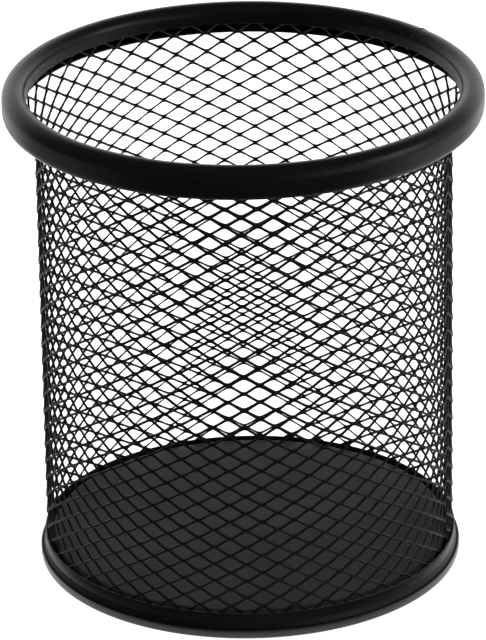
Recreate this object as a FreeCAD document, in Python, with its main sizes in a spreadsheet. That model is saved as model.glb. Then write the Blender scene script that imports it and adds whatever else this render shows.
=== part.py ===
# A round pen cup in expanded steel mesh, black powder coated.
#
# Six pieces: a rolled rim tube with its butt weld, the mesh wall with the spot
# welds of its lap seam, a flared band round the foot, and a drawn floor plate
# whose hem grips the band. Millimetres; +Z is up; the origin is the centre of
# the foot, on the surface that the cup stands on; the front faces -Y.
import FreeCAD, Part
import math
import os
import Sketcher

Vector = FreeCAD.Vector
doc = FreeCAD.newDocument("pen_cup")


# ---------------------------------------------------------------- sizes
SIZES = [
    # name, value, what it is
    ("overall_height", 96.9, "foot to the top of the rim"),
    ("rim_outer_dia", 90.8, "across the rim tube"),
    ("rim_width", 4.65, "rim tube, inside to outside"),
    ("rim_height", 7.24, "rim tube, top to its sharp bottom corner before rounding"),
    ("rim_strip", 0.4, "thickness of the strip that the rim is rolled from"),
    ("rim_crown", 0.05, "flat left between the two rounds over the rim"),
    ("rim_corner", 1.7, "inside radius at the outer bottom corner of the rim"),
    ("rim_turn_rise", 1.2, "how far the rim's bottom rises on its way in to the slit"),
    ("rim_lip_rise", 1.84, "inner edge of the slit above its outer edge"),
    ("rim_joint_angle", 37.5, "degrees from +X to the rim's butt weld"),
    ("rim_joint_width", 0.4, "width of the butt weld, in the circle of the rim"),
    ("weld_proud", 0.06, "dressed butt weld above the strip"),
    ("mesh_dia", 78.8, "outside of the mesh wall"),
    ("mesh_gauge", 0.4, "thickness of the flattened mesh"),
    ("diamond_long", 6.08, "long way of the diamond, knuckle to knuckle"),
    ("diamond_short", 3.5, "short way of the diamond, knuckle to knuckle"),
    ("knuckle_length", 1.05, "uncut length between two slits"),
    ("lap_width", 15.0, "overlap of the two ends of the mesh"),
    ("lap_gap", 0.1, "between the two layers of the lap"),
    ("lap_angle", 74.43, "degrees from the front to the outer end of the mesh"),
    ("flare_height", 14.0, "height over which the mesh opens out to the rim"),
    ("mesh_grip", 0.6, "how far the mesh goes up into the rim above its slit"),
    ("mesh_rim_gap", 0.1, "mesh to each edge of the rim's slit"),
    ("mesh_foot_gap", 0.45, "mesh above the bottom of the foot channel"),
    ("weld_dia", 0.6, "spot weld of the lap seam"),
    ("weld_pitch", 7.0, "height between the spot welds"),
    ("sheet_gauge", 0.4, "thickness of the floor plate"),
    ("floor_height", 4.9, "top of the floor above the foot"),
    ("floor_bend", 0.4, "inside radius where the floor turns down"),
    ("channel_bend", 0.3, "inside radius at the bottom of the channel"),
    ("channel_gap", 0.12, "floor plate to the inside of the lap"),
    ("band_gauge", 0.4, "thickness of the foot band"),
    ("band_top", 5.0, "top of the foot band above the foot"),
    ("band_flare", 0.4, "how far the band stands out at its bottom"),
    ("band_edge", 0.12, "radius on the band's top edge"),
    ("band_gap", 0.05, "foot band to the mesh and to the hem"),
    ("hem_height", 2.05, "top of the hem above the foot"),
    ("hem_bend", 0.4, "inside radius under the hem"),
]

sheet = doc.addObject("Spreadsheet::Sheet", "Sizes")
for row, (name, value, note) in enumerate(SIZES, start=1):
    sheet.set("A%d" % row, name)
    sheet.set("B%d" % row, str(value))
    sheet.set("C%d" % row, note)
    sheet.setAlias("B%d" % row, name)
doc.recompute()


class Size:
    """A size from the sheet: its value now, and the formula that follows the sheet."""

    def __init__(self, value, formula):
        self.value = value
        self.formula = formula

    def combine(self, other, sign, result):
        text = other.formula if isinstance(other, Size) else repr(other)
        return Size(result, "(%s %s %s)" % (self.formula, sign, text))

    def __add__(self, other):
        return self.combine(other, "+", self.value + number(other))

    def __sub__(self, other):
        return self.combine(other, "-", self.value - number(other))

    def __mul__(self, other):
        return self.combine(other, "*", self.value * number(other))

    def __truediv__(self, other):
        return self.combine(other, "/", self.value / number(other))


def number(size):
    return size.value if isinstance(size, Size) else float(size)


def larger(one, other):
    return Size(max(one.value, other.value), "max(%s; %s)" % (one.formula, other.formula))


def smaller(one, other):
    return Size(min(one.value, other.value), "min(%s; %s)" % (one.formula, other.formula))


def cell(name):
    return Size(float(sheet.get(name)), "Sizes." + name)


FOOT = Size(0.0, "0")
AXIS = Size(0.0, "0")
FLUSH = Size(0.0, "0")


# ---------------------------------------------------------------- fits
# Radii and heights that more than one piece uses.
rim_out = cell("rim_outer_dia") / 2
rim_in = rim_out - cell("rim_width")
rim_top = cell("overall_height")
rim_bottom = rim_top - cell("rim_height")
slit_outer_bottom = rim_bottom + cell("rim_turn_rise")
slit_inner_bottom = slit_outer_bottom + cell("rim_strip") + cell("rim_lip_rise")
mesh_out = cell("mesh_dia") / 2
layer_step = cell("mesh_gauge") + cell("lap_gap")
lap_out = mesh_out - layer_step
mesh_in = lap_out - cell("mesh_gauge")
mesh_bottom = cell("sheet_gauge") + cell("mesh_foot_gap")
mesh_top = slit_inner_bottom + cell("mesh_grip")
lap_out_at_slit = rim_in + cell("rim_strip") + cell("mesh_rim_gap") + cell("mesh_gauge")
swell_at_slit = lap_out_at_slit / lap_out
# A wall that is wider than the rim's inside closes in on its way up, so it is widest
# where it passes the slit's outer edge and the butt weld that stands proud of it.
flare_to_slit = cell("flare_height") - cell("mesh_grip")
flare_to_edge = flare_to_slit - slit_inner_bottom + slit_outer_bottom - cell("weld_proud")
edge_share = flare_to_edge / flare_to_slit
swell_at_edge = (swell_at_slit - 1) * edge_share * edge_share + 1
slit_outer_edge = mesh_out * larger(swell_at_slit, swell_at_edge) + cell("mesh_rim_gap")
skirt_out = mesh_in - cell("channel_gap")
band_in = mesh_out + cell("band_gap")
band_foot_out = band_in + cell("band_flare") + cell("band_gauge")
hem_out = band_foot_out + cell("band_gap") + cell("sheet_gauge")


# ---------------------------------------------------------------- drawing helpers
def origin_item(body, role):
    return [f for f in body.Origin.OriginFeatures if f.Role == role][0]


def round_off(before, corner, after, radius):
    """Where an arc of this radius meets the two sides of a corner, and its middle."""
    back = (before - corner).normalize()
    ahead = (after - corner).normalize()
    half = back.getAngle(ahead) / 2
    reach = radius / math.tan(half)
    bisector = (back + ahead).normalize()
    middle = corner + bisector * (radius / math.sin(half) - radius)
    return corner + back * reach, middle, corner + ahead * reach


def fix_point(sketch, geometry, end, x, y):
    """Holds a point of the sketch at a place that follows the sheet."""
    for kind, axis, size in (("DistanceX", -2, x), ("DistanceY", -1, y)):
        if size.formula == "0":
            sketch.addConstraint(Sketcher.Constraint("PointOnObject", geometry, end, axis))
        else:
            held = Sketcher.Constraint(kind, -1, 1, geometry, end, size.value)
            index = sketch.addConstraint(held)
            sketch.setExpression("Constraints[%d]" % index, size.formula)


def draw_outline(body, name, corners):
    """A closed outline in the XZ plane, as corners of x, z and the radius there or None."""
    sketch = body.newObject("Sketcher::SketchObject", name)
    sketch.AttachmentSupport = [(origin_item(body, "XZ_Plane"), "")]
    sketch.MapMode = "FlatFace"
    points = [Vector(x.value, z.value, 0) for x, z, radius in corners]
    count = len(corners)
    arcs = {}
    for i, (x, z, radius) in enumerate(corners):
        if radius is not None:
            arcs[i] = round_off(points[i - 1], points[i], points[(i + 1) % count], radius.value)
    lines = []
    for i in range(count):
        after = (i + 1) % count
        start = arcs[i][2] if i in arcs else points[i]
        end = arcs[after][0] if after in arcs else points[after]
        lines.append(sketch.addGeometry(Part.LineSegment(start, end)))
    for i, (x, z, radius) in enumerate(corners):
        before, after = lines[i - 1], lines[i]
        if i not in arcs:
            sketch.addConstraint(Sketcher.Constraint("Coincident", before, 2, after, 1))
            fix_point(sketch, after, 1, x, z)
            continue
        sharp = sketch.addGeometry(Part.Point(points[i]), True)
        fix_point(sketch, sharp, 1, x, z)
        for line in (before, after):
            sketch.addConstraint(Sketcher.Constraint("PointOnObject", sharp, 1, line))
        arc = sketch.addGeometry(Part.Arc(*arcs[i]))
        starts_here = sketch.getPoint(arc, 1).distanceToPoint(arcs[i][0]) < 1e-6
        near, far = (1, 2) if starts_here else (2, 1)
        sketch.addConstraint(Sketcher.Constraint("Tangent", before, 2, arc, near))
        sketch.addConstraint(Sketcher.Constraint("Tangent", arc, far, after, 1))
        index = sketch.addConstraint(Sketcher.Constraint("Radius", arc, radius.value))
        sketch.setExpression("Constraints[%d]" % index, radius.formula)
    return sketch


def turned_piece(name, corners, angle=None):
    """A body made by turning an outline round the cup's axis, all the way or by an angle."""
    body = doc.addObject("PartDesign::Body", name)
    body.Label = name
    sketch = draw_outline(body, name + "_section", corners)
    turn = body.newObject("PartDesign::Revolution", name + "_turn")
    turn.Profile = sketch
    turn.ReferenceAxis = (sketch, ["V_Axis"])
    turn.Angle = 360.0
    if angle is not None:
        turn.setExpression("Angle", angle.formula)
    return body


# ---------------------------------------------------------------- rim
def rim_section(proud):
    """The rolled strip, an open C whose slit lies at the bottom of its inner side.

    proud is how far the outside of the strip is raised, which only the weld is. The
    outer bottom corner is as round as the turned-in bottom has room for.
    """
    strip = cell("rim_strip")
    inside_rise = cell("rim_turn_rise") * strip / (rim_out - slit_outer_edge)
    crown = (cell("rim_width") - cell("rim_crown")) / 2
    turned_in = rim_out - slit_outer_edge
    room = turned_in * turned_in / (turned_in + cell("rim_turn_rise"))
    corner = smaller(cell("rim_corner"), room - strip - cell("weld_proud"))
    return [
        (rim_in - proud, slit_inner_bottom, None),
        (rim_in - proud, rim_top + proud, crown + proud),
        (rim_out + proud, rim_top + proud, crown + proud),
        (rim_out + proud, rim_bottom - proud, corner + strip + proud),
        (slit_outer_edge, slit_outer_bottom - proud, None),
        (slit_outer_edge, slit_outer_bottom + strip, None),
        (rim_out - strip, rim_bottom + inside_rise + strip, corner),
        (rim_out - strip, rim_top - strip, crown - strip),
        (rim_in + strip, rim_top - strip, crown - strip),
        (rim_in + strip, slit_inner_bottom, None),
    ]


def make_rim():
    """The tube, cut short by its butt weld, and the weld that closes the ring."""
    degrees = 180 / math.pi
    weld_angle = cell("rim_joint_width") / rim_out * degrees
    tube_angle = (weld_angle - 360) * -1.0
    tube = turned_piece("rim_tube", rim_section(FLUSH), tube_angle)
    weld = turned_piece("rim_joint_weld", rim_section(cell("weld_proud")), weld_angle)
    turns = (
        (tube, "Sizes.rim_joint_angle + %s / 2" % weld_angle.formula),
        (weld, "Sizes.rim_joint_angle - %s / 2" % weld_angle.formula),
    )
    for body, angle in turns:
        body.Placement = FreeCAD.Placement(Vector(), FreeCAD.Rotation(Vector(0, 0, 1), 1))
        body.setExpression("Placement.Rotation.Angle", angle)


# ---------------------------------------------------------------- mesh wall
class MeshSheet:
    """One sheet of expanded metal, folded at each column of knuckles into a round wall.

    Columns are half a diamond apart round the cup and rows half a diamond apart up
    it. A knuckle lies where column + row is even and a diamond opening where it is
    odd. The last columns pass inside the first ones, which is the lap. Towards the
    rim each row stands out more than the one below it.
    """

    def __init__(self):
        self.gauge = cell("mesh_gauge").value
        self.outer = mesh_out.value
        half_long = cell("diamond_long").value / 2
        half_short = cell("diamond_short").value / 2
        middle = self.outer - self.gauge / 2
        self.per_turn = 2 * round((2 * math.pi * middle / half_long - 1) / 2) + 1
        self.columns = self.per_turn + max(2, round(cell("lap_width").value / half_long))
        self.bottom = mesh_bottom.value
        height = mesh_top.value - self.bottom
        self.rows = round(height / half_short)
        self.row_height = height / self.rows
        self.flare_rows = min(self.rows - 1, round(cell("flare_height").value / half_short))
        below_slit = (slit_inner_bottom.value - self.bottom) / self.row_height
        share = (below_slit - (self.rows - self.flare_rows)) / self.flare_rows
        self.flare = (swell_at_slit.value - 1) / share ** 2
        bond = cell("knuckle_length").value / cell("diamond_long").value
        self.reach = 1 - bond
        self.knuckle = self.row_height * bond
        self.plan = [self.fold(column) for column in range(self.columns + 1)]
        self.normals = [self.facing(column) for column in range(self.columns)]
        self.depths = [self.depth(column) for column in range(self.columns + 1)]

    def fold(self, column):
        """Where a column stands in plan, on the outside of the wall."""
        ramp_columns = 3
        inside = (column - self.per_turn) / ramp_columns + 1
        radius = self.outer - layer_step.value * min(1.0, max(0.0, inside))
        angle = math.radians(cell("lap_angle").value) + 2 * math.pi * column / self.per_turn
        return Vector(radius * math.sin(angle), -radius * math.cos(angle), 0)

    def facing(self, column):
        """The way that the flat facet after a column faces."""
        along = self.plan[column + 1] - self.plan[column]
        return Vector(along.y, -along.x, 0).normalize()

    def depth(self, column):
        """From the outside to the inside of the wall at a fold, mitred between its facets."""
        before = self.normals[max(0, column - 1)]
        after = self.normals[min(self.columns - 1, column)]
        return (before + after) * (-self.gauge / (1 + before.dot(after)))

    def height(self, row):
        return self.bottom + row * self.row_height

    def swell(self, row):
        """How much wider the wall is at a row, which may be a fraction."""
        def at(whole):
            share = (whole - (self.rows - self.flare_rows)) / self.flare_rows
            return 1 + self.flare * max(0.0, share) ** 2
        low = min(self.rows - 1, math.floor(row + 1e-9))
        return at(low) + (at(low + 1) - at(low)) * (row - low)

    def point(self, column, row, inside, fold):
        """A point of the wall; fold is the column whose opening or knuckle it belongs to."""
        left = min(self.columns - 1, math.floor(column + 1e-9))
        share = column - left
        place = self.plan[left] * (1 - share) + self.plan[left + 1] * share
        place = place * self.swell(row)
        if inside:
            place = place + self.depths[fold]
        return Vector(place.x, place.y, self.height(row))

    def bands(self):
        """The rows where the wall bends outwards, so that each facet between them is flat."""
        first = self.rows - self.flare_rows
        return [0] + list(range(first, self.rows + 1))

    def facet_side(self, column, side, low, high):
        """The zigzag edge of a facet along one column, from row low to row high."""
        edge = []
        knuckle = self.knuckle / self.row_height
        for row in range(low, high + 1):
            if (column + row) % 2:
                edge.append((column + side * self.reach, row, column))
                continue
            if row > low:
                edge.append((column, row - knuckle, column))
            if row in (low, high):
                edge.append((column, row, column))
            if row < high:
                edge.append((column, row + knuckle, column))
        return edge

    def solid(self):
        faces = []
        knuckle = self.knuckle / self.row_height

        def add_face(points):
            faces.append(Part.Face(Part.makePolygon(points + points[:1])))

        def add_wall(edge):
            """A face through the thickness of the sheet, along an edge of its outside."""
            outside = [self.point(c, r, False, fold) for c, r, fold in edge]
            inside = [self.point(c, r, True, fold) for c, r, fold in edge]
            add_face(outside + inside[::-1])

        bends = self.bands()
        for column in range(self.columns):
            for low, high in zip(bends, bends[1:]):
                left = self.facet_side(column, 1, low, high)
                right = self.facet_side(column + 1, -1, low, high)
                loop = left + right[::-1]
                for inside in (False, True):
                    add_face([self.point(c, r, inside, fold) for c, r, fold in loop])

        ends = (0, self.columns)
        edges = (0, self.rows)
        for column in range(self.columns + 1):
            for row in range(self.rows + 1):
                sides = [s for s in (-1, 1) if 0 <= column + s <= self.columns]
                rises = [r for r in (-1, 1) if 0 <= row + r <= self.rows]
                if (column + row) % 2:
                    for side in sides:
                        for rise in rises:
                            tip = (column + side * self.reach, row, column)
                            crown = (column, row + rise * (1 - knuckle), column)
                            add_wall([tip, crown])
                    continue
                if row in edges:
                    cut = [(column, row, column)]
                    if -1 in sides:
                        cut.insert(0, (column - 1 + self.reach, row, column - 1))
                    if 1 in sides:
                        cut.append((column + 1 - self.reach, row, column + 1))
                    add_wall(cut)
                if column in ends:
                    stops = [row - knuckle] if -1 in rises else []
                    if row in bends:
                        stops.append(row)
                    stops += [row + knuckle] if 1 in rises else []
                    for below, above in zip(stops, stops[1:]):
                        add_wall([(column, below, column), (column, above, column)])

        skin = Part.makeCompound(faces)
        skin.sewShape(1e-5)
        return Part.makeSolid(skin.Shells[0])

    def welds(self):
        """Spot welds between the two layers of the lap, where their strands cross."""
        radius = cell("weld_dia").value / 2
        gap = cell("lap_gap").value
        lap = self.columns - self.per_turn
        step = max(2, round(cell("weld_pitch").value / self.row_height))
        last = self.rows - self.flare_rows
        column = lap // 2 + 0.5
        left = math.floor(column)
        spots = []
        for row in range(step, last, step):
            face = self.point(column, row + 0.5, True, left)
            inward = self.normals[left] * -1
            outside = self.point(column, row + 0.5, False, left)
            start = outside + inward * self.gauge
            spots.append(Part.makeCylinder(radius, gap, start, inward))
        return Part.makeCompound(spots)


def add_shape(name, shape):
    piece = doc.addObject("Part::Feature", name)
    piece.Label = name
    piece.Shape = shape
    piece.Placement = FreeCAD.Placement()
    return piece


def make_wall():
    wall = MeshSheet()
    add_shape("mesh_wall", wall.solid())
    add_shape("seam_spot_welds", wall.welds())
    return wall


# ---------------------------------------------------------------- foot
def make_foot_band():
    """The flared band outside the mesh, its lower edge inside the hem, above the hem's bend."""
    gauge = cell("band_gauge")
    foot = cell("sheet_gauge") + cell("hem_bend")
    top = cell("band_top")
    turned_piece("foot_band", [
        (band_in, top, None),
        (band_in + gauge, top, cell("band_edge")),
        (band_foot_out, foot, None),
        (band_foot_out - gauge, foot, None),
    ])


def make_floor_plate():
    """The drawn floor: a raised disc, a channel that the mesh stands in, and the hem."""
    gauge = cell("sheet_gauge")
    floor = cell("floor_height")
    bend = cell("floor_bend")
    channel = cell("channel_bend")
    hem = cell("hem_height")
    turned_piece("floor_plate", [
        (AXIS, floor, None),
        (skirt_out, floor, bend + gauge),
        (skirt_out, gauge, channel),
        (hem_out - gauge, gauge, cell("hem_bend")),
        (hem_out - gauge, hem, None),
        (hem_out, hem, None),
        (hem_out, FOOT, cell("hem_bend") + gauge),
        (skirt_out - gauge, FOOT, channel + gauge),
        (skirt_out - gauge, floor - gauge, bend),
        (AXIS, floor - gauge, None),
    ])


# ---------------------------------------------------------------- build and write
make_rim()
wall = make_wall()
make_foot_band()
make_floor_plate()
doc.recompute()

NODES = ("rim_tube", "rim_joint_weld", "mesh_wall", "seam_spot_welds", "foot_band", "floor_plate")
for item in doc.Objects:
    if "Invalid" in item.State or "Error" in item.State:
        raise RuntimeError("%s did not build: %s" % (item.Name, item.State))
pieces = {item.Label: item for item in doc.Objects if item.Label in NODES}
for node in NODES:
    shape = pieces[node].Shape
    if shape.isNull() or not shape.isValid() or shape.Volume <= 0:
        raise RuntimeError(node + " has no valid shape")

os.makedirs("parts", exist_ok=True)
for node in NODES:
    shape = pieces[node].Shape
    shape.exportStep("parts/%s.step" % node)
    box = shape.BoundBox
    print("%-16s %3d solid(s) %9.1f mm3  z %.2f to %.2f  across %.2f" % (
        node, len(shape.Solids), shape.Volume, box.ZMin, box.ZMax, box.XLength))
print("diamonds: %d half pitches a turn, %d columns, %d rows" % (
    wall.per_turn, wall.columns, wall.rows))
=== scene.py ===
# %% [markdown]
# # A pen cup in expanded steel mesh
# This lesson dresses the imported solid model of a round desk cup. The cup is four
# formed pieces of thin steel under one black powder coat: a rolled rim, a wall of
# expanded mesh, a band round the foot and a drawn floor. The solid model fixes
# every size and place, so the first cell loads it and keeps its box.

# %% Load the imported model
import math
import bmesh
import bpy
from mathutils import Matrix, Vector


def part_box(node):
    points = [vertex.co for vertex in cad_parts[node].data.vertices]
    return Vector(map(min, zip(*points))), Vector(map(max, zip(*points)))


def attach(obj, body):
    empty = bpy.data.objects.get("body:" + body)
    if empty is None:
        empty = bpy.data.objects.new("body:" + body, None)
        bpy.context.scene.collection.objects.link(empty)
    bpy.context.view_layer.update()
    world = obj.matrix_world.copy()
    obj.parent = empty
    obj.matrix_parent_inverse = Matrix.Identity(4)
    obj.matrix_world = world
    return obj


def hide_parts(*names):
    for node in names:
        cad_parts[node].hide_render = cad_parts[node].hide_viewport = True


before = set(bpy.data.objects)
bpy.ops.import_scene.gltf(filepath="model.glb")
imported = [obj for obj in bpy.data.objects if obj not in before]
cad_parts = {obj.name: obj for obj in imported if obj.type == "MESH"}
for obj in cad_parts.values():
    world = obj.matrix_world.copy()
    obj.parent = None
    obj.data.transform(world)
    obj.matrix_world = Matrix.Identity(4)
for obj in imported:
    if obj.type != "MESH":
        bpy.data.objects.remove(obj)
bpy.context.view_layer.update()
MM = 0.001

# %% [markdown]
# Sizes that the pieces share are read from the frame, so that the dressed pieces
# follow the solids. They are kept in millimetres, which suit a small object, and
# each mesh is scaled to metres once, when it is finished. A micrometre is the
# measure of what touches.

# %% Shared sizes from the frame


def node_box(name):
    """Lowest and highest corner of a solid, in millimetres."""
    low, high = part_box(name)
    return Vector(low) / MM, Vector(high) / MM


rim_low, rim_high = node_box("rim_tube")
mesh_low, mesh_high = node_box("mesh_wall")
band_low, band_high = node_box("foot_band")
_, floor_high = node_box("floor_plate")
RIM_RADIUS = min(-rim_low.x, -rim_low.y, rim_high.x, rim_high.y)
RIM_TOP = rim_high.z
RIM_BOTTOM = rim_low.z
HEM_RADIUS = floor_high.y
BAND_RADIUS = band_high.y
BAND_TOP = band_high.z
FLOOR_TOP = floor_high.z
MESH_BOTTOM = mesh_low.z
MESH_TOP = mesh_high.z
TOUCH = 0.001
print("rim radius %.2f, hem radius %.2f, mesh from %.2f to %.2f" % (
    RIM_RADIUS, HEM_RADIUS, MESH_BOTTOM, MESH_TOP))

# %% [markdown]
# ## Turned pieces
# The rim, the foot band and the floor are round, so each one is an outline spun
# about the cup's axis. An outline is drawn as a flat face with sharp corners, and
# its corners are then bevelled to arcs, as a press tool leaves them. A spin of the
# outline's edges makes the closed skin.

# %% A spun skin from an outline
TURN_STEPS = 240
ARC_STEPS = 8
SHARP_ANGLE = math.radians(35)
SEAM_MERGE = 0.5 * TOUCH


def corner_cut(before, corner, after, radius):
    """How far from a corner an arc of this radius starts."""
    angle = (before - corner).angle(after - corner)
    return radius / math.tan(angle / 2)


def outline_face(bm, corners):
    """A face in the XZ plane with rounded corners, from (radius, height, round) rows."""
    verts = [bm.verts.new((radius, 0, height)) for radius, height, _ in corners]
    bm.faces.new(verts)
    places = [vert.co.copy() for vert in verts]
    for i, (_, _, rounding) in enumerate(corners):
        if not rounding:
            continue
        cut = corner_cut(places[i - 1], places[i], places[(i + 1) % len(places)], rounding)
        vert = min(bm.verts, key=lambda v: (v.co - places[i]).length)
        bmesh.ops.bevel(bm, geom=[vert], offset=cut, offset_type="OFFSET", segments=ARC_STEPS,
                        profile=0.5, affect="VERTICES", material=-1)
    return bm.faces[:]


def new_piece(name, bm, sharp_angle=None):
    """Turns a finished bmesh in millimetres into a shaded piece on the cup."""
    bmesh.ops.scale(bm, vec=(MM, MM, MM), verts=bm.verts)
    mesh = bpy.data.meshes.new(name)
    bm.to_mesh(mesh)
    bm.free()
    piece = bpy.data.objects.new(name, mesh)
    bpy.context.scene.collection.objects.link(piece)
    mesh.shade_smooth()
    if sharp_angle:
        mesh.set_sharp_from_angle(angle=sharp_angle)
    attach(piece, "root")
    mesh.calc_loop_triangles()
    print(name, len(mesh.loop_triangles), "triangles")
    return piece


def spun_piece(name, corners):
    """A closed skin made by turning an outline all the way round the Z axis."""
    bm = bmesh.new()
    faces = outline_face(bm, corners)
    bmesh.ops.delete(bm, geom=faces, context="FACES_ONLY")
    bmesh.ops.spin(bm, geom=bm.verts[:] + bm.edges[:], cent=(0, 0, 0), axis=(0, 0, 1),
                   angle=2 * math.pi, steps=TURN_STEPS, use_merge=True)
    bmesh.ops.remove_doubles(bm, verts=bm.verts, dist=SEAM_MERGE)
    bmesh.ops.recalc_face_normals(bm, faces=bm.faces)
    return new_piece(name, bm, sharp_angle=SHARP_ANGLE)


# %% [markdown]
# ### The rim
# The rim is a strip of sheet rolled into an open tube, almost round, with a short
# straight outer side. Its lower edge turns in to a slit that the mesh goes up into.
# A coated edge is never sharp, so both lips of the slit are rounded too. The arc of
# the outer corner stands above the point where its two sides would meet, so that
# point is found from the lowest place of the solid rim.

# %% The rolled rim
RIM_WIDTH = 4.65
RIM_STRIP = 0.4
INNER_CROWN = 2.16
OUTER_CROWN = 2.46
RIM_CORNER = 2.1
SLIT_WIDTH = 1.1
TURN_RISE = 1.2
LIP_RISE = 1.84
LIP_ROUND = 0.12

rim_inside = RIM_RADIUS - RIM_WIDTH
slit_inner = rim_inside + RIM_STRIP
slit_outer = slit_inner + SLIT_WIDTH
turned_in = RIM_RADIUS - slit_outer
slope = TURN_RISE / turned_in
corner_lift = RIM_CORNER * (slope + 1 / math.cos(math.atan(slope)) - 1)
rim_corner_z = RIM_BOTTOM - corner_lift
slit_bottom = rim_corner_z + TURN_RISE
lip_bottom = slit_bottom + RIM_STRIP + LIP_RISE
print("the slit is %.2f to %.2f from the axis, %.2f up" % (slit_inner, slit_outer, slit_bottom))
rim = spun_piece("rim_tube_rolled", [
    (rim_inside, lip_bottom, LIP_ROUND),
    (rim_inside, RIM_TOP, INNER_CROWN),
    (RIM_RADIUS, RIM_TOP, OUTER_CROWN),
    (RIM_RADIUS, rim_corner_z, RIM_CORNER),
    (slit_outer, slit_bottom, LIP_ROUND),
    (slit_outer, slit_bottom + RIM_STRIP, LIP_ROUND),
    (RIM_RADIUS - RIM_STRIP, rim_corner_z + RIM_STRIP * (1 + slope), RIM_CORNER - RIM_STRIP),
    (RIM_RADIUS - RIM_STRIP, RIM_TOP - RIM_STRIP, OUTER_CROWN - RIM_STRIP),
    (slit_inner, RIM_TOP - RIM_STRIP, INNER_CROWN - RIM_STRIP),
    (slit_inner, lip_bottom, LIP_ROUND),
])
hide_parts("rim_tube")

# %% [markdown]
# ### The foot
# The band is a thin hoop that stands straight at the top and sweeps out below, where
# its edge is caught in the hem of the floor plate. The rounded top of the hem meets
# the sweep in a fine dark line. Inside, the floor is a raised disc with a soft edge,
# and a channel runs between it and the mesh.

# %% The foot band
BAND_GAUGE = 0.4
BAND_SWEEP = 0.4
BAND_EDGE = 0.16
SWEEP_TOP = 3.1
SWEEP_BEND = 0.8
SWEEP_DROP = 0.1
SWEEP_FOOT = 0.1
HEM_TOP = 2.05
band_bottom = band_low.z
band_outside = BAND_RADIUS - BAND_SWEEP
band_inside = band_outside - BAND_GAUGE
swept_inside = BAND_RADIUS - BAND_GAUGE
band = spun_piece("foot_band_swept", [
    (band_inside, BAND_TOP, BAND_EDGE),
    (band_outside, BAND_TOP, BAND_EDGE),
    (band_outside, SWEEP_TOP, SWEEP_BEND),
    (BAND_RADIUS, HEM_TOP, SWEEP_FOOT),
    (BAND_RADIUS, band_bottom, 0),
    (swept_inside, band_bottom, 0),
    (swept_inside, HEM_TOP - SWEEP_DROP, SWEEP_FOOT),
    (band_inside, SWEEP_TOP - SWEEP_DROP, SWEEP_BEND),
])
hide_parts("foot_band")

# %% The floor plate with its channel and hem
PLATE_GAUGE = 0.4
SKIRT_RADIUS = 38.38
FLOOR_BEND = 0.8
CHANNEL_BEND = 0.3
HEM_BEND = 0.8
HEM_EDGE = 0.18
hem_inside = HEM_RADIUS - PLATE_GAUGE
skirt_inside = SKIRT_RADIUS - PLATE_GAUGE
floor_under = FLOOR_TOP - PLATE_GAUGE
floor_plate = spun_piece("floor_plate_drawn", [
    (0.0, FLOOR_TOP, 0),
    (SKIRT_RADIUS, FLOOR_TOP, FLOOR_BEND),
    (SKIRT_RADIUS, PLATE_GAUGE, CHANNEL_BEND),
    (hem_inside, PLATE_GAUGE, HEM_BEND - PLATE_GAUGE),
    (hem_inside, HEM_TOP, HEM_EDGE),
    (HEM_RADIUS, HEM_TOP, HEM_EDGE),
    (HEM_RADIUS, 0.0, HEM_BEND),
    (skirt_inside, 0.0, CHANNEL_BEND + PLATE_GAUGE),
    (skirt_inside, floor_under, FLOOR_BEND - PLATE_GAUGE),
    (0.0, floor_under, 0),
])
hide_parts("floor_plate")

# %% [markdown]
# ## The mesh wall
# Expanded metal is one sheet, slit in staggered rows and pulled open. Where the
# slits end, a knuckle is left, and four strands run off it. The pull tips knuckles
# and strands out of the sheet, their upper edge outwards, so they look broad from the
# front and thin from above. The openings are sharp where the slits end and rounded
# over the knuckles. One knuckle with its four half strands is modelled first. It is
# then repeated over a flat sheet, cut to size and rolled round the cup.

# %% Sizes of the mesh
HALF_PITCHES_A_TURN = 81
LAP_COLUMNS = 5
ROWS = 53
WALL_RADIUS = 39.1
SHEET_THICKNESS = 0.45
KNUCKLE_HALF_LENGTH = 0.32
KNUCKLE_HALF_WIDTH = 0.37
CROWN_HALF_LENGTH = 0.24
STRAND_WIDTH = 0.21
STRAND_SKEW = 0.15
ROUND_SHARE = 0.4
ROUND_RISE = 0.37
LEAN = math.radians(-37)

half_pitch = 2 * math.pi * WALL_RADIUS / HALF_PITCHES_A_TURN
row_height = (MESH_TOP - MESH_BOTTOM) / ROWS
print("half a diamond is %.3f long and %.3f high" % (half_pitch, row_height))

# %% One knuckle with its four half strands


def place_vert(vert, along, across, rise):
    """Sets a point of the leaning sheet: along the slit, across the strand, and up the cup."""
    vert.co = (along, across * math.sin(LEAN), rise + across * math.cos(LEAN))


def between(start, stop, share):
    """A share of the way from start to stop."""
    return start + (stop - start) * share


def run_strand(bm, edge):
    """Extrudes a slanted edge of the knuckle in two steps, as far as its strand's middle."""
    middle = (edge.verts[0].co + edge.verts[1].co) / 2
    side, upper = math.copysign(1, middle.x), math.copysign(1, middle.z)
    slit_stop = (half_pitch + STRAND_SKEW) / 2
    crown_stop = (half_pitch - STRAND_SKEW) / 2
    for run, climb in ((ROUND_SHARE, ROUND_RISE), (1.0, 1.0)):
        made = bmesh.ops.extrude_edge_only(bm, edges=[edge])["geom"]
        fresh = [g for g in made if isinstance(g, bmesh.types.BMVert)]
        edge = next(g for g in made if isinstance(g, bmesh.types.BMEdge)
                    and all(v in fresh for v in g.verts))
        crown_vert, slit_vert = sorted(fresh, key=lambda v: abs(v.co.x))
        rise = upper * climb * row_height / 2
        place_vert(slit_vert, side * between(KNUCKLE_HALF_LENGTH, slit_stop, run),
                   upper * between(0.0, -STRAND_WIDTH / 2, run), rise)
        place_vert(crown_vert, side * between(CROWN_HALF_LENGTH, crown_stop, run),
                   upper * between(KNUCKLE_HALF_WIDTH, STRAND_WIDTH / 2, run), rise)


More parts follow.
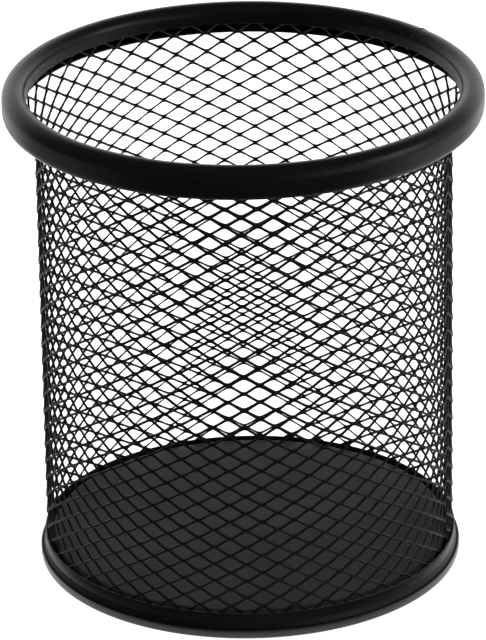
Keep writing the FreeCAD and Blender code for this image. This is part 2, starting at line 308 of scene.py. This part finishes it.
def knuckle_unit():
    """The knuckle and its half strands, as a shell open where its neighbours join on."""
    bm = bmesh.new()
    tip, crown, half = KNUCKLE_HALF_LENGTH, CROWN_HALF_LENGTH, KNUCKLE_HALF_WIDTH
    corners = []
    for along, across in ((-tip, 0), (-crown, half), (crown, half),
                          (tip, 0), (crown, -half), (-crown, -half)):
        corners.append(bm.verts.new())
        place_vert(corners[-1], along, across, 0.0)
    bm.faces.new(corners)
    slanted = [e for e in bm.edges if abs(e.verts[0].co.y - e.verts[1].co.y) > TOUCH]
    for edge in slanted:
        run_strand(bm, edge)
    return bm


# %% The knuckle made as thick as the sheet


def thicken(bm):
    """Gives the shell its thickness square to the lean, and leaves its four cut ends open."""
    bmesh.ops.recalc_face_normals(bm, faces=bm.faces)
    made = bmesh.ops.extrude_face_region(bm, geom=bm.faces[:])["geom"]
    moved = {g for g in made if isinstance(g, bmesh.types.BMVert)}
    through = Vector((0, -math.cos(LEAN), math.sin(LEAN))) * SHEET_THICKNESS / 2
    for vert in bm.verts:
        vert.co += through if vert in moved else -through
    strand_middle = (half_pitch - STRAND_SKEW) / 2
    ends = [f for f in bm.faces if min(abs(v.co.x) for v in f.verts) > strand_middle - TOUCH]
    bmesh.ops.delete(bm, geom=ends, context="FACES_ONLY")


unit = knuckle_unit()
thicken(unit)
print("one knuckle has", len(unit.faces), "faces")

# %% [markdown]
# The knuckles stand in staggered rows, so two of them, one half diamond along and
# one up, make a tile that an Array modifier can repeat both ways. The sheet is then
# trimmed along its four sides, where the shears cut through strands and knuckles.

# %% The flat sheet
JOIN_MERGE = 2 * TOUCH
CUT_REACH = 0.1 * TOUCH
columns = HALF_PITCHES_A_TURN + LAP_COLUMNS


def tiled(bm):
    """The staggered tile repeated over the whole sheet, as a new bmesh."""
    twin = bmesh.ops.duplicate(bm, geom=bm.verts[:] + bm.edges[:] + bm.faces[:])["geom"]
    bmesh.ops.translate(bm, vec=(half_pitch, 0, row_height),
                        verts=[g for g in twin if isinstance(g, bmesh.types.BMVert)])
    mesh = bpy.data.meshes.new("tile")
    bm.to_mesh(mesh)
    bm.free()
    tile = bpy.data.objects.new("tile", mesh)
    bpy.context.scene.collection.objects.link(tile)
    for step, count in (((2 * half_pitch, 0, 0), columns // 2 + 1),
                        ((0, 0, 2 * row_height), ROWS // 2 + 1)):
        array = tile.modifiers.new("repeat", "ARRAY")
        array.use_relative_offset = False
        array.use_constant_offset = True
        array.constant_offset_displace = step
        array.count = count
        array.use_merge_vertices = True
        array.merge_threshold = JOIN_MERGE
    sheet = bmesh.new()
    sheet.from_object(tile, bpy.context.evaluated_depsgraph_get())
    bpy.data.objects.remove(tile)
    bpy.data.meshes.remove(mesh)
    bmesh.ops.remove_doubles(sheet, verts=sheet.verts, dist=JOIN_MERGE)
    return sheet


def trimmed(bm):
    """Cuts the sheet to its size and closes every cut strand."""
    width = columns * half_pitch
    height = ROWS * row_height
    for place, way in (((0, 0, 0), (-1, 0, 0)), ((width, 0, 0), (1, 0, 0)),
                       ((0, 0, 0), (0, 0, -1)), ((0, 0, height), (0, 0, 1))):
        cut = bmesh.ops.bisect_plane(
            bm, geom=bm.verts[:] + bm.edges[:] + bm.faces[:], dist=CUT_REACH,
            plane_co=place, plane_no=way, clear_outer=True)["geom_cut"]
        cut_edges = [g for g in cut if isinstance(g, bmesh.types.BMEdge) and g.is_boundary]
        bmesh.ops.holes_fill(bm, edges=cut_edges, sides=0)
    return bm


sheet = trimmed(tiled(unit))
print("the flat sheet has", len(sheet.faces), "faces and",
      sum(e.is_boundary for e in sheet.edges), "open edges")

# %% [markdown]
# Rolling bends the flat sheet round the cup: the distance along it becomes an angle.
# The last columns step inwards under the first ones, which makes the lap on the
# right side. Under the rim the wall opens out towards the slit, and the slit and the
# foot band press the leaning strands flatter. The sheet was rolled a little crooked,
# so its rows lie half a millimetre lower at the back than in front, and an eighth
# lower as a whole.

# %% The sheet rolled into the wall
LAP_ANGLE = math.radians(74.43)
LAP_STEP = 0.5
LAP_RAMP = 3
FLARE_START = 83.0
FLARE_REACH = 2.8
PRESSED = 0.4
SLIT_PRESSED = 0.5
ROW_TILT = 0.5
ROW_DROP = 0.125
FREE_ABOVE_BAND = 2.0


def eased(share):
    """A smooth step from 0 to 1."""
    share = min(1.0, max(0.0, share))
    return share * share * (3 - 2 * share)


def wall_radius(column, height):
    """Middle of the wall at a column of the sheet and a height of the cup."""
    step = LAP_STEP * eased((column - HALF_PITCHES_A_TURN) / LAP_RAMP + 1)
    flare = max(0.0, height - FLARE_START) / (lip_bottom - FLARE_START)
    return WALL_RADIUS - step + FLARE_REACH * flare * flare


def relief(height):
    """How much of its lean the mesh keeps: less inside the foot band and in the rim's slit."""
    foot = eased((height - BAND_TOP) / FREE_ABOVE_BAND)
    slit = eased((height - rim_corner_z) / (lip_bottom - rim_corner_z))
    return PRESSED + (1 - PRESSED) * foot * (1 - SLIT_PRESSED * slit)


def rolled(bm):
    """Bends the flat sheet round the cup's axis, and returns it."""
    for vert in bm.verts:
        along, depth, height = vert.co
        height += MESH_BOTTOM
        column = along / half_pitch
        turn = LAP_ANGLE + 2 * math.pi * column / HALF_PITCHES_A_TURN
        height += ROW_TILT / 2 * math.cos(turn) - ROW_DROP
        radius = wall_radius(column, height) - depth * relief(height)
        vert.co = (radius * math.sin(turn), -radius * math.cos(turn), height)
    bmesh.ops.recalc_face_normals(bm, faces=bm.faces)
    return bm


wall = new_piece("mesh_wall_expanded", rolled(sheet))
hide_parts("mesh_wall")

# %% [markdown]
# The lap is held by spot welds. Each is a small flattened nugget between the two
# layers, where a strand of one crosses a strand of the other. They stop below the
# flare, where the wall starts to open out.

# %% The spot welds of the lap
WELD_RADIUS = 0.3
WELD_FLATNESS = 0.6
WELD_EVERY = 4
ROWS_LEFT_FREE = 8
weld_column = LAP_COLUMNS // 2 + 0.5
weld_bm = bmesh.new()
for row in range(WELD_EVERY, ROWS - ROWS_LEFT_FREE, WELD_EVERY):
    height = MESH_BOTTOM + (row + 0.5) * row_height
    turn = LAP_ANGLE + 2 * math.pi * weld_column / HALF_PITCHES_A_TURN
    nugget = bmesh.ops.create_icosphere(weld_bm, subdivisions=2, radius=WELD_RADIUS)["verts"]
    bmesh.ops.scale(weld_bm, vec=(1, WELD_FLATNESS, 1), verts=nugget)
    bmesh.ops.rotate(weld_bm, matrix=Matrix.Rotation(turn, 3, "Z"), verts=nugget)
    middle = wall_radius(weld_column, height) - LAP_STEP / 2
    bmesh.ops.translate(weld_bm, verts=nugget, vec=(
        middle * math.sin(turn), -middle * math.cos(turn), height))
welds = new_piece("lap_spot_welds", weld_bm)
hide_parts("seam_spot_welds")

# %% [markdown]
# ## Finish
# The whole cup has one satin black powder coat: polyester powder, sprayed on and
# baked. It flows out to a closed plastic film with a faint orange peel, so it
# reflects softly, and it is never fully black. The colour is written as sRGB hex and
# turned to linear by one function.

# %% Colour and node helpers


def linear(hex_colour):
    """An sRGB hex colour as linear RGBA."""
    parts = [int(hex_colour[i:i + 2], 16) / 255 for i in (1, 3, 5)]
    return [p / 12.92 if p <= 0.04045 else ((p + 0.055) / 1.055) ** 2.4 for p in parts] + [1.0]


def add_node(tree, kind, inputs=(), **settings):
    """Adds a node with its settings; an input is a value, or a socket to link from."""
    node = tree.nodes.new(kind)
    for name, value in settings.items():
        setattr(node, name, value)
    for name, value in dict(inputs).items():
        if isinstance(value, bpy.types.NodeSocket):
            tree.links.new(value, node.inputs[name])
        else:
            node.inputs[name].default_value = value
    return node


def blank_material(name):
    """A material with an empty tree and its output node."""
    material = bpy.data.materials.new(name)
    material.use_nodes = True
    material.node_tree.nodes.clear()
    output = add_node(material.node_tree, "ShaderNodeOutputMaterial")
    return material, material.node_tree, output


# %% [markdown]
# Orange peel is a shallow ripple, one or two millimetres long. Its height is four to
# twelve micrometres, which is enough to break up the edge of a reflection. Under it, a
# slower drift in colour and gloss keeps a large face from looking computed.

# %% The powder coat
COAT_IOR = 1.5
DRIFT_LOW = 0.3
DRIFT_HIGH = 0.7


def powder_coat(name, deep, worn, roughness, peel_mm, peel_height_mm, drift_mm):
    """Baked powder coat: two close blacks, a roughness range and a peel of a real size."""
    material, tree, output = blank_material(name)
    place = add_node(tree, "ShaderNodeTexCoord").outputs["Object"]
    drift = add_node(tree, "ShaderNodeTexNoise", {
        "Vector": place, "Scale": 1 / (drift_mm * MM), "Detail": 3.0, "Roughness": 0.5})
    peel = add_node(tree, "ShaderNodeTexNoise", {
        "Vector": place, "Scale": 1 / (peel_mm * MM), "Detail": 1.5, "Roughness": 0.4})
    colour = add_node(tree, "ShaderNodeMix", {
        "Factor": drift.outputs["Fac"], "A": linear(deep), "B": linear(worn)}, data_type="RGBA")
    shine = add_node(tree, "ShaderNodeMapRange", {
        "Value": drift.outputs["Fac"], "From Min": DRIFT_LOW, "From Max": DRIFT_HIGH,
        "To Min": roughness[0], "To Max": roughness[1]})
    bump = add_node(tree, "ShaderNodeBump", {
        "Height": peel.outputs["Fac"], "Distance": peel_height_mm * MM, "Strength": 1.0})
    coat = add_node(tree, "ShaderNodeBsdfPrincipled", {
        "Base Color": colour.outputs["Result"], "Roughness": shine.outputs["Result"],
        "IOR": COAT_IOR, "Normal": bump.outputs["Normal"]})
    tree.links.new(coat.outputs["BSDF"], output.inputs["Surface"])
    return material


def dress(piece, material):
    """Gives a piece one material in place of what it had."""
    piece.data.materials.clear()
    piece.data.materials.append(material)


# %% [markdown]
# One coat doesn't lie the same everywhere. On the rim and the foot it flows out, and
# they mirror softly. On the thin strands it is duller, with a trace of blue. On the
# floor it is rougher, and the faces that look up are painted a lighter grey, a painted
# lightness that stands in for the light falling on them from above. Over the dressed
# weld it follows the marks of the grinding, so the joint looks like a matt patch.

# %% The coats of the pieces
UP_FACING = 0.05
rim_coat = powder_coat(
    "satin_powder_coat_rim", "#0a0a0b", "#0d0d0e", roughness=(0.26, 0.32),
    peel_mm=1.6, peel_height_mm=0.006, drift_mm=18)
mesh_coat = powder_coat(
    "satin_powder_coat_mesh", "#0a0a12", "#0e0e18", roughness=(0.38, 0.46),
    peel_mm=0.9, peel_height_mm=0.004, drift_mm=9)
foot_coat = powder_coat(
    "satin_powder_coat_foot", "#0a0a0b", "#0e0e0f", roughness=(0.28, 0.34),
    peel_mm=1.6, peel_height_mm=0.006, drift_mm=20)
# The floor's coat is a lighter grey than the rest of the cup: painted light, standing in for
# the light that falls on the floor from above.
floor_coat_painted_lighter = powder_coat(
    "powder_coat_floor_painted_lighter", "#1b1b1d", "#212123", roughness=(0.55, 0.65),
    peel_mm=0.8, peel_height_mm=0.012, drift_mm=20)
weld_coat = powder_coat(
    "powder_coat_over_dressed_weld", "#101012", "#1c1c1f", roughness=(0.42, 0.5),
    peel_mm=0.8, peel_height_mm=0.012, drift_mm=4)
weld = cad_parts["rim_joint_weld"]
for piece, coat in ((rim, rim_coat), (wall, mesh_coat), (welds, mesh_coat),
                    (band, foot_coat), (floor_plate, foot_coat), (weld, weld_coat)):
    dress(piece, coat)

# Only the floor faces that look up take the lighter coat, so the light from above is painted
# onto them.
floor_plate.data.materials.append(floor_coat_painted_lighter)
for face in floor_plate.data.polygons:
    inside = math.hypot(face.center.x, face.center.y) < SKIRT_RADIUS * MM
    if inside and face.normal.z > UP_FACING and face.center.z > PLATE_GAUGE * MM:
        face.material_index = 1
print("the painted lighter coat of the floor covers",
      sum(face.material_index for face in floor_plate.data.polygons), "faces")

# %% [markdown]
# ## Stage
# The cup stands on a white sweep. The floor is white paper with a glow of its own for
# the camera, so it stays white, and a shadow still shows on it. The sizes of the stage
# are in metres.

# %% White floor
FLOOR_HALF = 3.0
FLOOR_GLOW = 0.86
GLOW_NEAR = 0.3
GLOW_FAR = 1.0


def stage_piece(name, bm, material):
    """Turns a finished bmesh in metres into a piece of the stage."""
    mesh = bpy.data.meshes.new(name)
    bm.to_mesh(mesh)
    bm.free()
    piece = bpy.data.objects.new(name, mesh)
    bpy.context.scene.collection.objects.link(piece)
    dress(piece, material)
    return piece


def combined(tree, operation, first, second):
    """A sum, a product or the greater of two values, as a socket."""
    return add_node(
        tree, "ShaderNodeMath", {0: first, 1: second}, operation=operation).outputs[0]


def seen_directly(tree):
    """1 for camera, glossy and transmission rays, 0 for the rays that light things."""
    path = add_node(tree, "ShaderNodeLightPath").outputs
    seen = combined(tree, "MAXIMUM", path["Is Camera Ray"], path["Is Glossy Ray"])
    return combined(tree, "MAXIMUM", seen, path["Is Transmission Ray"])


def ramp(tree, value, span, low, high):
    """A smooth step from low to high while a value crosses a span, as a socket."""
    return add_node(tree, "ShaderNodeMapRange", {
        "Value": value, "From Min": span[0], "From Max": span[1],
        "To Min": low, "To Max": high}, interpolation_type="SMOOTHSTEP").outputs["Result"]


paper, tree, output = blank_material("white_paper_sweep")
paper_diffuse = add_node(tree, "ShaderNodeBsdfDiffuse", {"Color": linear("#f4f4f4")})
way_out = add_node(tree, "ShaderNodeVectorMath", {
    0: add_node(tree, "ShaderNodeTexCoord").outputs["Object"]}, operation="LENGTH")
glow = ramp(tree, way_out.outputs["Value"], (GLOW_NEAR, GLOW_FAR), FLOOR_GLOW, 1.0)
paper_glow = add_node(tree, "ShaderNodeEmission", {"Color": (1, 1, 1, 1), "Strength": glow})
glow_only = add_node(tree, "ShaderNodeMixShader", {
    0: seen_directly(tree), 2: paper_glow.outputs[0]})
both = add_node(tree, "ShaderNodeAddShader", {
    0: paper_diffuse.outputs[0], 1: glow_only.outputs[0]})
tree.links.new(both.outputs[0], output.inputs["Surface"])
bm = bmesh.new()
bmesh.ops.create_grid(bm, x_segments=1, y_segments=1, size=FLOOR_HALF)
stage_piece("white_floor", bm, paper)

# %% [markdown]
# Black gloss has no form of its own: all of it comes from what it mirrors. So the cup
# stands in a tent that only mirror rays see. The tent is white low down behind the
# cup, which draws the ends of the rings in soft grey, a third as bright on the right,
# and dark in front and overhead. A graded paper on the table carries it on below. Each
# span is where a ramp starts and ends, as a part of the direction from the cup.

# %% The graded tent and paper
TENT_RADIUS = 0.8
TENT_SEGMENTS = 48
PAPER_SEGMENTS = 64
PAPER_HOLE = 0.043
PAPER_HEIGHT = 0.0004
TENT_CUT_REACH = 0.0001
TENT_DARK = 0.03
TENT_BACK = 1.0
TENT_RIGHT = 0.35
TENT_TOP_SPAN = (0.25, 0.9)
TENT_BACK_SPAN = (0.3, 0.9)
TENT_RIGHT_SPAN = (0.2, 0.75)
PAPER_FRONT = 0.08
PAPER_LEFT = 0.25
PAPER_RIGHT = 0.6
PAPER_BACK = 1.0
PAPER_SIDE_SPAN = (-0.6, 0.6)
PAPER_FRONT_SPAN = (-0.7, 0.0)
PAPER_BACK_SPAN = (0.2, 0.8)


def glowing(name):
    """A material that glows by direction: its tree, the direction's parts, its strength."""
    material, tree, output = blank_material(name)
    place = add_node(tree, "ShaderNodeTexCoord").outputs["Object"]
    way = add_node(tree, "ShaderNodeVectorMath", {0: place}, operation="NORMALIZE")
    parts = add_node(tree, "ShaderNodeSeparateXYZ", {0: way.outputs["Vector"]})
    emission = add_node(tree, "ShaderNodeEmission")
    tree.links.new(emission.outputs[0], output.inputs["Surface"])
    return material, tree, parts.outputs, emission.inputs["Strength"]


def mirrored_only(piece):
    """Shows a stage piece to mirror rays and to nothing else."""
    piece.visible_camera = False
    piece.visible_shadow = False
    piece.visible_diffuse = False
    piece.visible_transmission = False


# %% How the tent and the paper are graded
tent_cloth, tree, way, strength = glowing("graded_tent_cloth")
low_down = ramp(tree, way["Z"], TENT_TOP_SPAN, 1.0, 0.0)
behind = ramp(tree, way["Y"], TENT_BACK_SPAN, 0.0, TENT_BACK)
on_the_right = ramp(tree, way["X"], TENT_RIGHT_SPAN, 0.0, TENT_RIGHT)
bright = combined(tree, "MULTIPLY", combined(tree, "MAXIMUM", behind, on_the_right), low_down)
tree.links.new(combined(tree, "ADD", bright, TENT_DARK), strength)

table_paper, tree, way, strength = glowing("graded_table_paper")
sideways = ramp(tree, way["X"], PAPER_SIDE_SPAN, PAPER_LEFT, PAPER_RIGHT)
in_front = ramp(tree, way["Y"], PAPER_FRONT_SPAN, PAPER_FRONT, 1.0)
behind = ramp(tree, way["Y"], PAPER_BACK_SPAN, 0.0, PAPER_BACK)
level = combined(tree, "MULTIPLY", in_front, sideways)
tree.links.new(combined(tree, "MAXIMUM", level, behind), strength)

# %% The paper as a ring and the tent as half a ball
bm = bmesh.new()
bmesh.ops.create_circle(bm, cap_ends=True, radius=TENT_RADIUS, segments=PAPER_SEGMENTS)
bmesh.ops.inset_region(
    bm, faces=bm.faces[:], thickness=TENT_RADIUS - PAPER_HOLE, use_boundary=True)
disc = [f for f in bm.faces if len(f.verts) == PAPER_SEGMENTS]
bmesh.ops.delete(bm, geom=disc, context="FACES")
print("the table paper is a ring of", len(bm.faces), "faces round a hole of radius %.1f mm" % (
    min(v.co.length for v in bm.verts) / MM))
bmesh.ops.translate(bm, vec=(0, 0, PAPER_HEIGHT), verts=bm.verts)
mirrored_only(stage_piece("graded_paper", bm, table_paper))

bm = bmesh.new()
bmesh.ops.create_uvsphere(
    bm, u_segments=TENT_SEGMENTS, v_segments=TENT_SEGMENTS // 2, radius=TENT_RADIUS)
bmesh.ops.bisect_plane(
    bm, geom=bm.verts[:] + bm.edges[:] + bm.faces[:], dist=TENT_CUT_REACH,
    plane_co=(0, 0, PAPER_HEIGHT), plane_no=(0, 0, -1), clear_outer=True)
mirrored_only(stage_piece("graded_tent", bm, tent_cloth))

# %% [markdown]
# The world is white where it is seen and gives no light. The light comes from four
# wide fills at a plain level, at which a colour renders about as it is written. They
# aren't mirrored, so they leave no glare. One small softbox on the right is.

# %% World and lamps
LAMP_AIM = Vector((0, 0, 0.05))

world = bpy.data.worlds.new("white_studio")
bpy.context.scene.world = world
world.use_nodes = True
tree = world.node_tree
tree.nodes.clear()
sky = add_node(tree, "ShaderNodeBackground", {
    "Color": (1, 1, 1, 1), "Strength": seen_directly(tree)})
tree.links.new(sky.outputs[0], add_node(tree, "ShaderNodeOutputWorld").inputs["Surface"])


def softbox(name, place, width, watts, mirrored=False):
    """A square area lamp turned to the cup."""
    lamp = bpy.data.lights.new(name, "AREA")
    lamp.size = width
    lamp.energy = watts
    holder = bpy.data.objects.new(name, lamp)
    holder.location = place
    holder.rotation_mode = "QUATERNION"
    holder.rotation_quaternion = (LAMP_AIM - Vector(place)).to_track_quat("-Z", "Y")
    holder.visible_glossy = mirrored
    bpy.context.scene.collection.objects.link(holder)


softbox("top_fill", place=(0, 0, 0.8), width=0.8, watts=3.4)
softbox("front_fill", place=(0, -0.9, 0.5), width=0.6, watts=4.0)
softbox("left_fill", place=(-0.9, 0.1, 0.4), width=0.6, watts=2.5)
softbox("right_fill", place=(0.9, 0.1, 0.4), width=0.6, watts=2.5)
softbox("right_softbox", place=(0.45, -0.1, 0.3), width=0.2, watts=0.14, mirrored=True)

# %% [markdown]
# ## Camera
# A long lens, about a metre away and 24 degrees above the horizon, looks at the middle
# of the cup. The camera is rolled a little, so the cup leans by one degree in the view.

# %% The camera
CAMERA_DISTANCE = 980.0
CAMERA_ELEVATION = math.radians(23.6)
CAMERA_ROLL = -0.0165
CAMERA_LENS = 288.0
AIM = Vector((-0.7, 0, 47.83))
back = Vector((0, -math.cos(CAMERA_ELEVATION), math.sin(CAMERA_ELEVATION)))
level = Vector((1, 0, 0))
upright = Vector((0, math.sin(CAMERA_ELEVATION), math.cos(CAMERA_ELEVATION)))
right = level * math.cos(CAMERA_ROLL) + upright * math.sin(CAMERA_ROLL)
up = upright * math.cos(CAMERA_ROLL) - level * math.sin(CAMERA_ROLL)
camera_data = bpy.data.cameras.new("studio_camera")
camera_data.lens = CAMERA_LENS
camera = bpy.data.objects.new("studio_camera", camera_data)
camera.matrix_world = Matrix.Translation((AIM + back * CAMERA_DISTANCE) * MM) @ Matrix(
    (right, up, back)).transposed().to_4x4()
bpy.context.scene.collection.objects.link(camera)
bpy.context.scene.camera = camera

# %% [markdown]
# ## Colour view
# The colours are shown as they are written.

# %% Show the colours as written
bpy.context.scene.view_settings.view_transform = "Standard"
